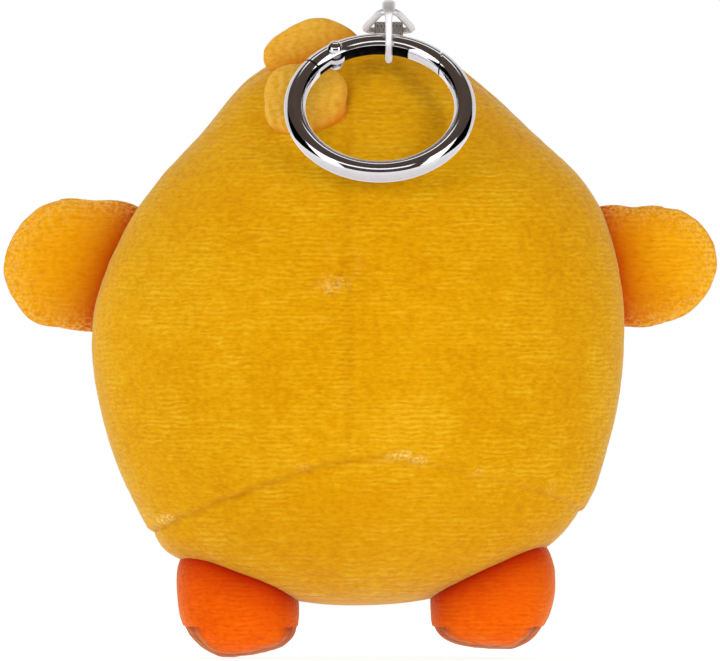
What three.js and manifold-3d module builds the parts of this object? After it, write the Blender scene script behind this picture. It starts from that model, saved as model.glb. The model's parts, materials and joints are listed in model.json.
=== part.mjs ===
// Plush duck keychain: a stuffed egg-shaped body with two wings, two soled feet and a head tuft,
// hung from a crown tab, a small loop ring, a link and a spring-gate carry ring.
// Millimetres, +Z up, the duck's back towards -Y and its face towards +Y.
import * as THREE from "three";
import { mergeVertices } from "three/addons/utils/BufferGeometryUtils.js";
import Module from "manifold-3d";

const wasm = await Module();
wasm.setup();

// ---- Driving dimensions -------------------------------------------------------------------

const ORIGIN = new THREE.Vector3(1.0, 5.3, 0); // where the frame origin lies, in modelling space
const GAP = 0.3; // clearance between touching pieces
const FABRIC = 1.3; // thickness of the plush skin
const CORE_CLEARANCE = 1.2; // between the skin and the coarser stuffing core

// Body, as half-width and height up the outline, from the base to the crown
const BODY_PROFILE = [
  [0, 10], [13, 10.9], [22.5, 13.5], [31.5, 17.8], [38.6, 23.8], [44.2, 32.5], [48.2, 44],
  [50.6, 60], [49.4, 72], [44.6, 84], [36.9, 94], [29, 101.5], [21.6, 108.6], [15.8, 112.8],
  [9.6, 116.7], [0, 118.6],
];
const BODY_DEPTH_RATIO = 0.83; // half-depth over half-width
const BODY_MIDDLE_Z = 64;
const HEAD_LEAN_X = 2.1; // the head sits a little to the right of the body
const HEAD_LEAN_Y = 3.2; // and the crown a little forward
const LEAN_X_BETWEEN = [58, 88]; // heights over which each lean comes in
const LEAN_Y_BETWEEN = [92, 116];
const BACK_SEAM_X = -2;
const FRONT_SEAM_X = 0.4;

// Base gusset: its seam arches up across the back and less across the front
const GUSSET_BACK_PEAK = 38;
const GUSSET_FRONT_PEAK = 30;
const GUSSET_PEAK_X = 3;
const GUSSET_HALF_WIDTH = 41;
const GUSSET_DROP_LEFT = 13.8;
const GUSSET_DROP_RIGHT = 10;
const GUSSET_CURVE = 1.4;
const GUSSET_CUT_HALF = 60; // how far out the seam line is drawn, and its steps
const GUSSET_CUT_STEP = 6;

// Side seam, straight up both sides and then forward over the crown, as y and z
const SIDE_SEAM_TURN_Z = 98;
const SIDE_SEAM_BEND_Z = 112;
const SIDE_SEAM_END = [-7, 130];

// Carry ring, a standard 36 mm spring-gate ring of 4 mm wire
const RING_RADIUS = 16;
const WIRE_RADIUS = 2;
const RING_CENTRE = new THREE.Vector3(4.3, -26.8, 103.6);
const RING_TILT = 41; // degrees that the ring leans from upright, top away from the back
const HINGE_ANGLE = -32.5; // degrees round the ring from its top, clockwise from behind
const SHOULDER_ANGLE = -53; // where the ring body stops and the gate begins
const NOSE_LIMIT_ANGLE = 80;
const CHANNEL_END_ANGLE = 22;
const RIVET_ORBIT = 15.6; // distance of the rivet from the ring's centre
const RIVET_RADIUS = 0.6;
const RIVET_HEAD_RADIUS = 1.5;
const RIVET_HEAD = [[1, 0], [0.85, 0.5], [0.45, 0.8], [0, 0.9]]; // share of its radius, and height
const RIVET_HEAD_CLEARANCE = 0.2;
const NOSE_REACH = 19.8; // distance from the rivet to the gate's nose
// The gate is hollow on its inner side, for the spring and for the ring body's tongue
const CHANNEL_HALF_WIDTH = 1.3;
const CHANNEL_FLOOR = 17.2;
const TONGUE_LOW = -1; // the tongue's height range, from the ring's plane
const TONGUE_HIGH = 0;
const TONGUE_HALF_WIDTH = 1.45;
const TONGUE_OVERLAP = 5; // degrees that the tongue runs on into the ring body
const SPRING_WIRE_RADIUS = 0.13;
const SPRING_COIL_RADIUS = 1.1;
const SPRING_PITCH = 0.3;
const SPRING_TURNS = 2;
const SPRING_LEG = [1.1, 2.2]; // how far along the gate each leg's two points are from the rivet
const SPRING_RISE = 0.4; // first turn above the tongue

// Link, round the gate and through the loop ring's apex
const LINK_ANGLE = 6; // where round the ring the link sits
const LINK_WIRE_RADIUS = 0.65;
const LINK_LENGTH = 12;
const LINK_WIDTH = 7.8;

// Loop ring, a rounded triangle whose base bar lies in the crown tab
const LOOP_WIRE_RADIUS = 0.65;
const LOOP_BASE_HALF = 4.4;
const LOOP_CORNER_RADIUS = 1.3;
const LOOP_APEX_RADIUS = 2.0;
const LOOP_BAR = new THREE.Vector3(5.97, -6.2, 118.3);
const TAB_HALF_WIDTH = 2.7;
const TAB_THICKNESS = 0.7;
const TAB_LEAN = 24; // degrees that the tab leans back
const TAB_TAIL = 7.5;

// Wings
const WING_HINGE_X = 50.9; // from the mid-line, at the wing's middle height
const WING_MIDDLE_X = 1.0;
const WING_MIDDLE_Z = 74.2;
const WING_LEAN = 14; // degrees that the root line leans in towards the top
const WING_RISE = -0.1; // the wing's middle line falls a little towards its tip
// Rows out from the hinge line: distance, half-length along the root, half-thickness
const WING_ROWS = [
  [-1.7, 5.2, 0.7], [-1.2, 7.6, 1.3], [0, 9.2, 1.8], [3, 11.2, 3.9], [7.5, 12.1, 5.6],
  [11.5, 11, 5.8], [14.8, 8.2, 4.6], [16.8, 4.6, 2.6], [17.5, 1.4, 0.8],
];

// Feet, each an upper with a flat sole. The ridge is where the upper meets the base gusset.
const FEET = {
  left: { side: -1, x: -22.5, ridgeZ: 13.0, ridgeTilt: 20 },
  right: { side: 1, x: 25.9, ridgeZ: 14.3, ridgeTilt: 23 },
};
// Rows up the upper: share of the height, half-width, half-length, middle's distance forward
const FOOT_ROWS = [
  [0, 11, 17, 1.5], [0.18, 11.5, 17.5, 1.5], [0.4, 11.2, 16, 1.4], [0.6, 10.7, 12.8, 1.2],
  [0.78, 10.2, 8.6, 0.8], [0.92, 9.6, 3.8, 0.3], [1, 9, 0.9, 0],
];
const FOOT_TILT_CURVE = 1.5; // how late up the foot its rows turn to the ridge's slope
const FOOT_SOLE = 1.5;
const FOOT_OPENING = 3; // how far the upper's hollow runs on below it, so that it is open
const SOLE_ROUND = 0.45; // rounding of the sole's lower edge

// Tuft: rows of height, half-length and half-thickness up each lobe
const TUFT_ROOT = new THREE.Vector3(-7.6, -3.6, 117.0);
const TUFT_SLOPE = 22; // degrees that the root line falls towards the left
const TUFT_TILT = 12; // degrees that the upper lobe leans back
const UPPER_LOBE_LEAN = -0.1; // the upper lobe's middle moves left as it rises
const UPPER_LOBE_ROWS = [
  [-1.1, 6.5, 0.6], [-0.6, 7.6, 1.1], [0.8, 8.8, 2.1], [2.4, 8.2, 2.6], [3.6, 5.8, 1.9], [4.2, 2.5, 0.9],
];
const LOWER_LOBE_ROWS = [
  [-6.6, 3.5, 0.7], [-5.4, 6.2, 1.6], [-2, 8, 2.1], [2, 8, 2.1], [5, 6.4, 1.6], [6.2, 3.6, 0.7],
];
const LOWER_LOBE_MIDDLE = new THREE.Vector3(-10, -19.2, 104.8);
const LOWER_LOBE_TILT = 44; // degrees that it lies back, with the back of the head
const LOWER_LOBE_TURN = 14; // degrees that it turns with the head's left side

// Bill, two halves. Rows out: share of the reach, and share of the half-width and half-height.
const BILL_ROOT_Y = 34;
const BILL_STEPS = [0, 0.4, 0.7, 0.88, 0.97, 1];
const BILL_DROOP = 1.2; // how far the tip hangs below the root
const BILL_TAPER = 0.25;
const BILL_TIP_SHARE = 0.06;
const BILL_UPPER = { topZ: 78.6, halfHeight: 4.2, halfWidth: 13, reach: 18.5 };
const BILL_LOWER = { topZ: 68.9, halfHeight: 2.6, halfWidth: 9.5, reach: 14 };

// Eyes, each a bead on a shank with a washer inside the skin
const EYE_X = 15;
const EYE_Z = 85;
const EYE_RADIUS = 3.6;
const EYE_DOME = 0.75; // height of the bead over its radius
const SHANK_RADIUS = 1;
const SHANK_LENGTH = 5;
const SHANK_HOLE_RADIUS = 1.25;
const WASHER_RADIUS = 3.8;
const WASHER_THICKNESS = 0.9;
const WASHER_POCKET_RADIUS = 4.3; // hollow in the stuffing for the washer and shank
const WASHER_POCKET_DEPTH = 5.4;
const WASHER_POCKET_IN = 3.4;

// Fineness and limits of the forms
const SOFT_SIDES = 20;
const SKIN_SIDES = 32;
const SKIN_ROWS = 17;
const CORE_SIDES = 24;
const CORE_ROWS = 12;
const WIRE_SIDES = 12;
const WIRE_STEPS = 54;
const SMALL_WIRE_SIDES = 8;
const SMALL_WIRE_STEPS = 34;
const SPRING_STEPS = 34;
const NOSE_SIDES = 90;
const PIN_SIDES = 16;
const POLE_HALF = 0.5; // half-width of the small flat at the crown and base
const LEAST_HALF = 0.4; // no padded form is drawn in to less than this
const FAR = 140; // beyond every piece, for cutting

// ---- Small helpers ------------------------------------------------------------------------

const rad = THREE.MathUtils.degToRad;

function solidOf(geometry) {
  const bare = geometry.clone();
  bare.deleteAttribute("normal");
  bare.deleteAttribute("uv");
  const merged = mergeVertices(bare, 1e-4);
  return new wasm.Manifold(
    new wasm.Mesh({
      numProp: 3,
      vertProperties: Float32Array.from(merged.attributes.position.array),
      triVerts: Uint32Array.from(merged.index.array),
    }),
  );
}

function geometryOf(solid) {
  const { vertProperties, triVerts } = solid.getMesh();
  const geometry = new THREE.BufferGeometry();
  geometry.setAttribute("position", new THREE.BufferAttribute(vertProperties, 3));
  geometry.setIndex(new THREE.BufferAttribute(triVerts, 1));
  geometry.computeVertexNormals();
  return geometry;
}

// A closed skin through elliptical stations: each has a centre and two half-axes, a and b,
// with a x b pointing along the way the stations run. The ends are closed by a point.
function loft(stations, sides) {
  const positions = [];
  const index = [];
  const ringStart = (k) => 1 + k * sides;
  const first = stations[0].centre;
  const last = stations[stations.length - 1].centre;
  positions.push(first.x, first.y, first.z);
  for (const { centre, a, b } of stations) {
    for (let i = 0; i < sides; i++) {
      const angle = (i / sides) * Math.PI * 2;
      const point = centre.clone();
      point.addScaledVector(a, Math.cos(angle)).addScaledVector(b, Math.sin(angle));
      positions.push(point.x, point.y, point.z);
    }
  }
  const end = ringStart(stations.length);
  positions.push(last.x, last.y, last.z);
  for (let i = 0; i < sides; i++) {
    const next = (i + 1) % sides;
    index.push(0, ringStart(0) + next, ringStart(0) + i);
    for (let k = 0; k + 1 < stations.length; k++) {
      const low = ringStart(k);
      const high = ringStart(k + 1);
      index.push(low + i, low + next, high + next, low + i, high + next, high + i);
    }
    index.push(end, ringStart(stations.length - 1) + i, ringStart(stations.length - 1) + next);
  }
  const geometry = new THREE.BufferGeometry();
  geometry.setAttribute("position", new THREE.Float32BufferAttribute(positions, 3));
  geometry.setIndex(index);
  return geometry;
}

// A bar of any outline: shape in the x-y plane, extruded both ways from z = 0
function slab(shape, low, high) {
  const geometry = new THREE.ExtrudeGeometry(shape, { depth: high - low, bevelEnabled: false });
  return geometry.translate(0, 0, low);
}

function boxBetween(low, high) {
  const size = new THREE.Vector3().subVectors(high, low);
  const middle = new THREE.Vector3().addVectors(high, low).multiplyScalar(0.5);
  return new THREE.BoxGeometry(size.x, size.y, size.z).translate(middle.x, middle.y, middle.z);
}

// A closed wire along a flat outline, sampled evenly
function closedWire(outline, steps, radius, sides) {
  const points = outline.getSpacedPoints(steps).slice(0, steps);
  const path = new THREE.CatmullRomCurve3(points.map((p) => new THREE.Vector3(p.x, p.y, 0)), true);
  return new THREE.TubeGeometry(path, steps, radius, sides, true);
}

function turned(geometry, axisTo, position) {
  const turn = new THREE.Quaternion().setFromUnitVectors(new THREE.Vector3(0, 0, 1), axisTo);
  return geometry.applyQuaternion(turn).translate(position.x, position.y, position.z);
}

const assembly = new THREE.Group();
assembly.name = "plush_keychain";
assembly.position.copy(ORIGIN).negate();

const LOOKS = {
  plush: { color: 0xe2a00c, roughness: 0.95, metalness: 0 },
  wing: { color: 0xec9d08, roughness: 0.95, metalness: 0 },
  orange: { color: 0xe95a08, roughness: 0.95, metalness: 0 },
  fill: { color: 0xf2efe8, roughness: 1, metalness: 0 },
  tape: { color: 0xd9980a, roughness: 0.9, metalness: 0 },
  chrome: { color: 0xc9ccd1, roughness: 0.12, metalness: 1 },
  spring: { color: 0x8a8d92, roughness: 0.35, metalness: 1 },
  eye: { color: 0x0a0a0b, roughness: 0.1, metalness: 0 },
  washer: { color: 0xe8e6e0, roughness: 0.5, metalness: 0 },
};

function addPiece(name, shape, look, parent = assembly) {
  const geometry = shape.isBufferGeometry ? shape : geometryOf(shape);
  const mesh = new THREE.Mesh(geometry, new THREE.MeshStandardMaterial(LOOKS[look]));
  mesh.name = name;
  parent.add(mesh);
}

// ---- Body ---------------------------------------------------------------------------------

const bodyCurve = new THREE.SplineCurve(BODY_PROFILE.map(([r, z]) => new THREE.Vector2(r, z)));

function bodyCentre(z) {
  const leanX = HEAD_LEAN_X * THREE.MathUtils.smoothstep(z, ...LEAN_X_BETWEEN);
  const leanY = HEAD_LEAN_Y * THREE.MathUtils.smoothstep(z, ...LEAN_Y_BETWEEN);
  return new THREE.Vector3(leanX, leanY, z);
}

function bodyStations(count) {
  const stations = [];
  for (let i = 1; i < count; i++) {
    const { x: radius, y: z } = bodyCurve.getPointAt(i / count);
    stations.push({
      centre: bodyCentre(z),
      a: new THREE.Vector3(radius, 0, 0),
      b: new THREE.Vector3(0, radius * BODY_DEPTH_RATIO, 0),
    });
  }
  return stations;
}

// The body's outer form, drawn in by an inset, or grown by a negative one
function bodyForm(inset, sides, rows) {
  const stations = bodyStations(rows);
  const tip = (z) => ({
    centre: bodyCentre(z),
    a: new THREE.Vector3(POLE_HALF, 0, 0),
    b: new THREE.Vector3(0, POLE_HALF, 0),
  });
  const zLow = BODY_PROFILE[0][1];
  const zHigh = BODY_PROFILE[BODY_PROFILE.length - 1][1];
  const geometry = loft([tip(zLow), ...stations, tip(zHigh)], sides);
  const widest = Math.max(...BODY_PROFILE.map(([radius]) => radius));
  const half = [widest, widest * BODY_DEPTH_RATIO, (zHigh - zLow) / 2];
  const scale = half.map((h) => 1 - inset / h);
  geometry.translate(0, 0, -BODY_MIDDLE_Z);
  geometry.scale(...scale);
  return geometry.translate(0, 0, BODY_MIDDLE_Z);
}

// Point on the front of the body at x and z, with the outward direction there
function frontPoint(x, z) {
  const radiusAt = (height) => {
    let low = 0.5;
    let high = 1;
    for (let i = 0; i < 30; i++) {
      const middle = (low + high) / 2;
      if (bodyCurve.getPointAt(middle).y < height) low = middle;
      else high = middle;
    }
    return bodyCurve.getPointAt(low).x;
  };
  const at = (px, pz) => {
    const centre = bodyCentre(pz);
    const radius = radiusAt(pz);
    const depth = BODY_DEPTH_RATIO * Math.sqrt(radius ** 2 - (px - centre.x) ** 2);
    return new THREE.Vector3(px, centre.y + depth, pz);
  };
  const point = at(x, z);
  const across = at(x + 0.5, z).sub(at(x - 0.5, z));
  const up = at(x, z + 0.5).sub(at(x, z - 0.5));
  return { point, outward: up.cross(across).normalize() };
}

function gussetSeamHeight(x, peak) {
  const share = (x - GUSSET_PEAK_X) / GUSSET_HALF_WIDTH;
  const drop = share < 0 ? GUSSET_DROP_LEFT : GUSSET_DROP_RIGHT;
  const foot = GUSSET_BACK_PEAK - drop;
  return peak - (peak - foot) * Math.abs(share) ** GUSSET_CURVE;
}

// Everything under the gusset seam: deep across the back half and shallower in front
function underSeam(shift) {
  const half = (peak, low, high) => {
    const outline = new THREE.Shape();
    outline.moveTo(-GUSSET_CUT_HALF, 0);
    for (let x = -GUSSET_CUT_HALF; x <= GUSSET_CUT_HALF; x += GUSSET_CUT_STEP) {
      outline.lineTo(x, gussetSeamHeight(x, peak) + shift);
    }
    outline.lineTo(GUSSET_CUT_HALF, 0);
    return solidOf(slab(outline, low, high).rotateX(Math.PI / 2));
  };
  const overlap = 0.01;
  return half(GUSSET_BACK_PEAK, 0, FAR).add(half(GUSSET_FRONT_PEAK, -FAR, overlap));
}

// Everything behind the seam that runs up both sides and over the crown
function behindSideSeam(shift) {
  const outline = new THREE.Shape();
  const [endY, endZ] = SIDE_SEAM_END;
  outline.moveTo(-FAR, 0);
  outline.lineTo(shift, 0);
  outline.lineTo(shift, SIDE_SEAM_TURN_Z);
  outline.quadraticCurveTo(shift, SIDE_SEAM_BEND_Z, endY + shift, endZ);
  outline.lineTo(-FAR, endZ);
  const geometry = slab(outline, -FAR, FAR);
  // y-z outline, swept along x
  const basis = new THREE.Matrix4().makeBasis(
    new THREE.Vector3(0, 1, 0),
    new THREE.Vector3(0, 0, 1),
    new THREE.Vector3(1, 0, 0),
  );
  return solidOf(geometry.applyMatrix4(basis));
}

function halfSpace(side, x) {
  const near = x + (side * GAP) / 2;
  const far = side * FAR;
  const low = new THREE.Vector3(Math.min(near, far), -FAR, 0);
  const high = new THREE.Vector3(Math.max(near, far), FAR, FAR);
  return solidOf(boxBetween(low, high));
}

const bodyOuter = solidOf(bodyForm(0, SKIN_SIDES, SKIN_ROWS));
const bodyInner = solidOf(bodyForm(FABRIC, SKIN_SIDES, SKIN_ROWS));
const bodyClearance = solidOf(bodyForm(-GAP, SKIN_SIDES, SKIN_ROWS));
const skin = bodyOuter.subtract(bodyInner);

// ---- Crown tab ----------------------------------------------------------------------------

const tabUp = new THREE.Vector3(0, -Math.sin(rad(TAB_LEAN)), Math.cos(rad(TAB_LEAN)));
const tabInner = LOOP_WIRE_RADIUS + GAP;
const tabOuter = tabInner + TAB_THICKNESS;

// A shape modelled round the bar along x, with z out of the crown, moved to its place
function onTab(geometry) {
  geometry.rotateX(rad(TAB_LEAN));
  return geometry.translate(LOOP_BAR.x, LOOP_BAR.y, LOOP_BAR.z);
}

function tabTail(margin) {
  const half = new THREE.Vector3(TAB_HALF_WIDTH + margin, TAB_THICKNESS + margin, 0);
  const low = new THREE.Vector3(-half.x, -half.y, -TAB_TAIL - margin);
  return solidOf(onTab(boxBetween(low, new THREE.Vector3(half.x, half.y, -tabInner))));
}

function barCylinder(radius, length) {
  return solidOf(onTab(new THREE.CylinderGeometry(radius, radius, length, 20).rotateZ(Math.PI / 2)));
}

const tabSolid = barCylinder(tabOuter, 2 * TAB_HALF_WIDTH)
  .add(tabTail(0))
  .subtract(barCylinder(tabInner, 4 * TAB_HALF_WIDTH));
addPiece("crown_tab", tabSolid, "tape");
const tabSlot = tabTail(GAP);

// ---- Eyes ---------------------------------------------------------------------------------

function eyeParts(side) {
  const x = FRONT_SEAM_X + HEAD_LEAN_X / 2 + side * EYE_X;
  const { point, outward } = frontPoint(x, EYE_Z);
  const seat = point.clone().addScaledVector(outward, GAP);
  const profile = [
    new THREE.Vector2(0, -SHANK_LENGTH),
    new THREE.Vector2(SHANK_RADIUS, -SHANK_LENGTH),
    new THREE.Vector2(SHANK_RADIUS, 0),
  ];
  const steps = 6;
  for (let i = 0; i <= steps; i++) {
    const angle = (i / steps) * (Math.PI / 2);
    const height = EYE_DOME * EYE_RADIUS * Math.sin(angle);
    profile.push(new THREE.Vector2(i === steps ? 0 : EYE_RADIUS * Math.cos(angle), height));
  }
  const bead = turned(new THREE.LatheGeometry(profile, 16).rotateX(Math.PI / 2), outward, seat);
  const disc = (radius, thickness, distance) => {
    const geometry = new THREE.CylinderGeometry(radius, radius, thickness, 20).rotateX(Math.PI / 2);
    return solidOf(turned(geometry, outward, point.clone().addScaledVector(outward, distance)));
  };
  const washer = disc(WASHER_RADIUS, WASHER_THICKNESS, -FABRIC - 2 * GAP - WASHER_THICKNESS);
  const hole = disc(SHANK_HOLE_RADIUS, 4 * SHANK_LENGTH, 0);
  const pocket = disc(WASHER_POCKET_RADIUS, WASHER_POCKET_DEPTH, -WASHER_POCKET_IN);
  return { bead, washer: washer.subtract(hole), hole, pocket };
}

const eyes = { left: eyeParts(-1), right: eyeParts(1) };
for (const [side, { bead, washer }] of Object.entries(eyes)) {
  addPiece(`eye_${side}`, bead, "eye");
  addPiece(`eye_washer_${side}`, washer, "washer");
}

// ---- Skin panels and stuffing -------------------------------------------------------------

const aboveGusset = skin.subtract(underSeam(GAP / 2));
const back = aboveGusset.intersect(behindSideSeam(-GAP / 2)).subtract(tabSlot);
const front = aboveGusset.subtract(behindSideSeam(GAP / 2)).subtract(tabSlot);
addPiece("back_panel_left", back.intersect(halfSpace(-1, BACK_SEAM_X)), "plush");
addPiece("back_panel_right", back.intersect(halfSpace(1, BACK_SEAM_X)), "plush");
const frontLeft = front.intersect(halfSpace(-1, FRONT_SEAM_X));
const frontRight = front.intersect(halfSpace(1, FRONT_SEAM_X));
addPiece("front_panel_left", frontLeft.subtract(eyes.left.hole), "plush");
addPiece("front_panel_right", frontRight.subtract(eyes.right.hole), "plush");
addPiece("base_gusset", skin.intersect(underSeam(-GAP / 2)), "plush");
const core = solidOf(bodyForm(FABRIC + CORE_CLEARANCE, CORE_SIDES, CORE_ROWS)).subtract(tabSlot);
addPiece("stuffing_core", core.subtract(eyes.left.pocket).subtract(eyes.right.pocket), "fill");

// ---- Bill ---------------------------------------------------------------------------------

function billHalf({ topZ, halfHeight, halfWidth, reach }) {
  const stations = BILL_STEPS.map((t) => {
    const round = Math.max(Math.sqrt(1 - t ** 4), BILL_TIP_SHARE);
    const z = topZ - halfHeight - BILL_DROOP * t * t;
    return {
      centre: new THREE.Vector3(FRONT_SEAM_X, BILL_ROOT_Y + t * reach, z),
      a: new THREE.Vector3(0, 0, halfHeight * (1 - BILL_TAPER * t) * round),
      b: new THREE.Vector3(halfWidth * round, 0, 0),
    };
  });
  return solidOf(loft(stations, SOFT_SIDES)).subtract(bodyClearance);
}
addPiece("bill_upper", billHalf(BILL_UPPER), "orange");
addPiece("bill_lower", billHalf(BILL_LOWER), "orange");

// ---- Tuft ---------------------------------------------------------------------------------

// A padded petal: rows of [height, half-length, half-thickness] from its root, in its own
// frame of x along the root, y through the thickness and z up the petal
function petal(rows, sides, lean = 0) {
  const stations = rows.map(([height, halfLength, halfThickness]) => ({
    centre: new THREE.Vector3(lean * height, 0, height),
    a: new THREE.Vector3(halfLength, 0, 0),
    b: new THREE.Vector3(0, halfThickness, 0),
  }));
  return loft(stations, sides);
}

const upperLobe = petal(UPPER_LOBE_ROWS, SOFT_SIDES, UPPER_LOBE_LEAN);
upperLobe.rotateX(rad(TUFT_TILT)).rotateY(-rad(TUFT_SLOPE));
upperLobe.translate(TUFT_ROOT.x, TUFT_ROOT.y, TUFT_ROOT.z);
addPiece("tuft_upper_lobe", solidOf(upperLobe).subtract(bodyClearance), "plush");

const lowerLobe = petal(LOWER_LOBE_ROWS, SOFT_SIDES);
lowerLobe.rotateX(-rad(LOWER_LOBE_TILT)).rotateZ(-rad(LOWER_LOBE_TURN));
lowerLobe.translate(LOWER_LOBE_MIDDLE.x, LOWER_LOBE_MIDDLE.y, LOWER_LOBE_MIDDLE.z);
addPiece("tuft_lower_lobe", solidOf(lowerLobe).subtract(bodyClearance), "plush");

// ---- Wings --------------------------------------------------------------------------------

// The wing drawn in by an inset. An inset form leaves out the root's two rows and the tip's one.
function wingForm(inset) {
  const kept = WING_ROWS.filter((_, i) => inset === 0 || (i > 1 && i < WING_ROWS.length - 1));
  const rows = kept.map(([distance, halfLength, halfThickness]) => [
    distance,
    Math.max(halfLength - inset, LEAST_HALF),
    Math.max(halfThickness - inset, LEAST_HALF),
  ]);
  return petal(rows, SOFT_SIDES, WING_RISE);
}

// From the petal's own frame to the wing's place: its height runs outwards, its length upright
function placeWing(geometry, side) {
  const leanIn = rad(WING_LEAN);
  const out = new THREE.Vector3(side * Math.cos(leanIn), 0, Math.sin(leanIn));
  const along = new THREE.Vector3(-side * Math.sin(leanIn), 0, Math.cos(leanIn));
  const through = new THREE.Vector3().crossVectors(out, along);
  geometry.applyMatrix4(new THREE.Matrix4().makeBasis(along, through, out));
  return geometry.translate(WING_MIDDLE_X + side * WING_HINGE_X, 0, WING_MIDDLE_Z);
}

for (const [name, side] of [["left", -1], ["right", 1]]) {
  const outer = solidOf(placeWing(wingForm(0), side));
  const inner = solidOf(placeWing(wingForm(FABRIC), side));
  const shell = outer.subtract(inner);
  const behind = boxBetween(new THREE.Vector3(-FAR, -FAR, -FAR), new THREE.Vector3(FAR, -GAP / 2, FAR));
  const ahead = boxBetween(new THREE.Vector3(-FAR, GAP / 2, -FAR), new THREE.Vector3(FAR, FAR, FAR));
  addPiece(`wing_${name}_back_panel`, shell.intersect(solidOf(behind)), "wing");
  addPiece(`wing_${name}_front_panel`, shell.intersect(solidOf(ahead)), "wing");
  addPiece(`wing_${name}_fill`, placeWing(wingForm(FABRIC + GAP), side), "fill");
}

// ---- Feet ---------------------------------------------------------------------------------

function footForm({ side, x, ridgeZ, ridgeTilt }, inset, bottom) {
  const height = ridgeZ - inset - bottom;
  const stations = FOOT_ROWS.map(([share, a, b, forward]) => {
    const tilt = rad(ridgeTilt) * share ** FOOT_TILT_CURVE;
    const half = Math.max(a - inset, LEAST_HALF);
    return {
      centre: new THREE.Vector3(x, forward, bottom + share * height),
      a: new THREE.Vector3(half * Math.cos(tilt), 0, side * half * Math.sin(tilt)),
      b: new THREE.Vector3(0, Math.max(b - inset, LEAST_HALF), 0),
    };
  });
  return loft(stations, SOFT_SIDES);
}

for (const [name, foot] of Object.entries(FEET)) {
  const bottom = FOOT_SOLE + GAP;
  const outer = solidOf(footForm(foot, 0, bottom));
  const hollow = solidOf(footForm(foot, FABRIC, bottom - FOOT_OPENING));
  addPiece(`foot_${name}_upper`, outer.subtract(hollow), "orange");
  const above = solidOf(boxBetween(new THREE.Vector3(-FAR, -FAR, bottom), new THREE.Vector3(FAR, FAR, FAR)));
  const fill = solidOf(footForm(foot, FABRIC + GAP, bottom - FOOT_OPENING));
  addPiece(`foot_${name}_fill`, fill.intersect(above), "fill");
  const [, a, b, forward] = FOOT_ROWS[0];
  const sole = [[0, SOLE_ROUND], [SOLE_ROUND, 0], [FOOT_SOLE, 0]].map(([z, inset]) => ({
    centre: new THREE.Vector3(foot.x, forward, z),
    a: new THREE.Vector3(a - inset, 0, 0),
    b: new THREE.Vector3(0, b - inset, 0),
  }));
  addPiece(`foot_${name}_sole`, loft(sole, SOFT_SIDES), "orange");
}

// ---- Carry ring ---------------------------------------------------------------------------

// The ring is modelled flat in x-y, top towards +y, and laid against the back by its group
const ring = new THREE.Group();
ring.rotation.x = rad(90 - RING_TILT);
ring.position.copy(RING_CENTRE);
assembly.add(ring);

function onRing(angle, radius) {
  return new THREE.Vector2(radius * Math.sin(rad(angle)), radius * Math.cos(rad(angle)));
}

// Flat sector of the ring between two angles and two radii
function sector(from, to, inner, outer, low, high) {
  const shape = new THREE.Shape();
  const steps = 24;
  for (let i = 0; i <= steps; i++) {
    const { x, y } = onRing(from + ((to - from) * i) / steps, outer);
    if (i === 0) shape.moveTo(x, y);
    else shape.lineTo(x, y);
  }
  for (let i = steps; i >= 0; i--) {
    const { x, y } = onRing(from + ((to - from) * i) / steps, inner);
    shape.lineTo(x, y);
  }
  return solidOf(slab(shape, low, high));
}

function postAt(centre, radius, low, high, sides) {
  const geometry = new THREE.CylinderGeometry(radius, radius, high - low, sides).rotateX(Math.PI / 2);
  return solidOf(geometry.translate(centre.x, centre.y, (low + high) / 2));
}

const rivetPlace = onRing(HINGE_ANGLE, RIVET_ORBIT);
const gapAngle = THREE.MathUtils.radToDeg(GAP / 2 / RING_RADIUS);
const torus = solidOf(new THREE.TorusGeometry(RING_RADIUS, WIRE_RADIUS, WIRE_SIDES, WIRE_STEPS));
const inside = RING_RADIUS - 2 * WIRE_RADIUS;
const outside = RING_RADIUS + 2 * WIRE_RADIUS;
const clear = 2 * WIRE_RADIUS;

// The gate's share of the ring, a little smaller with shift 1 and a little larger with -1
function gateSpan(shift) {
  const span = sector(SHOULDER_ANGLE + shift * gapAngle, NOSE_LIMIT_ANGLE, inside, outside, -clear, clear);
  return span.intersect(postAt(rivetPlace, NOSE_REACH - (shift * GAP) / 2, -clear, clear, NOSE_SIDES));
}

const rivetHole = postAt(rivetPlace, RIVET_RADIUS + GAP, -clear, clear, PIN_SIDES);
const channelStart = SHOULDER_ANGLE - TONGUE_OVERLAP;
const channel = sector(channelStart, CHANNEL_END_ANGLE, inside, CHANNEL_FLOOR,
  -CHANNEL_HALF_WIDTH, CHANNEL_HALF_WIDTH);
addPiece("gate_arm", torus.intersect(gateSpan(1)).subtract(channel).subtract(rivetHole), "chrome", ring);

const tongue = sector(SHOULDER_ANGLE - TONGUE_OVERLAP, HINGE_ANGLE, RIVET_ORBIT - TONGUE_HALF_WIDTH,
  RIVET_ORBIT + TONGUE_HALF_WIDTH, TONGUE_LOW, TONGUE_HIGH);
const tongueEye = postAt(rivetPlace, TONGUE_HALF_WIDTH, TONGUE_LOW, TONGUE_HIGH, SOFT_SIDES);
const ringBody = torus.subtract(gateSpan(-1)).add(tongue).add(tongueEye).subtract(rivetHole);
addPiece("ring_body", ringBody, "chrome", ring);

function rivetGeometry() {
  const headBase = WIRE_RADIUS + RIVET_HEAD_CLEARANCE;
  const head = RIVET_HEAD.map(([share, height]) => [RIVET_HEAD_RADIUS * share, headBase + height]);
  const half = [[RIVET_RADIUS, headBase], ...head];
  const lower = half.map(([r, z]) => new THREE.Vector2(r, -z)).reverse();
  const upper = half.map(([r, z]) => new THREE.Vector2(r, z));
  const geometry = new THREE.LatheGeometry([...lower, ...upper], 18).rotateX(Math.PI / 2);
  return geometry.translate(rivetPlace.x, rivetPlace.y, 0);
}
addPiece("gate_rivet", rivetGeometry(), "chrome", ring);

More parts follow.
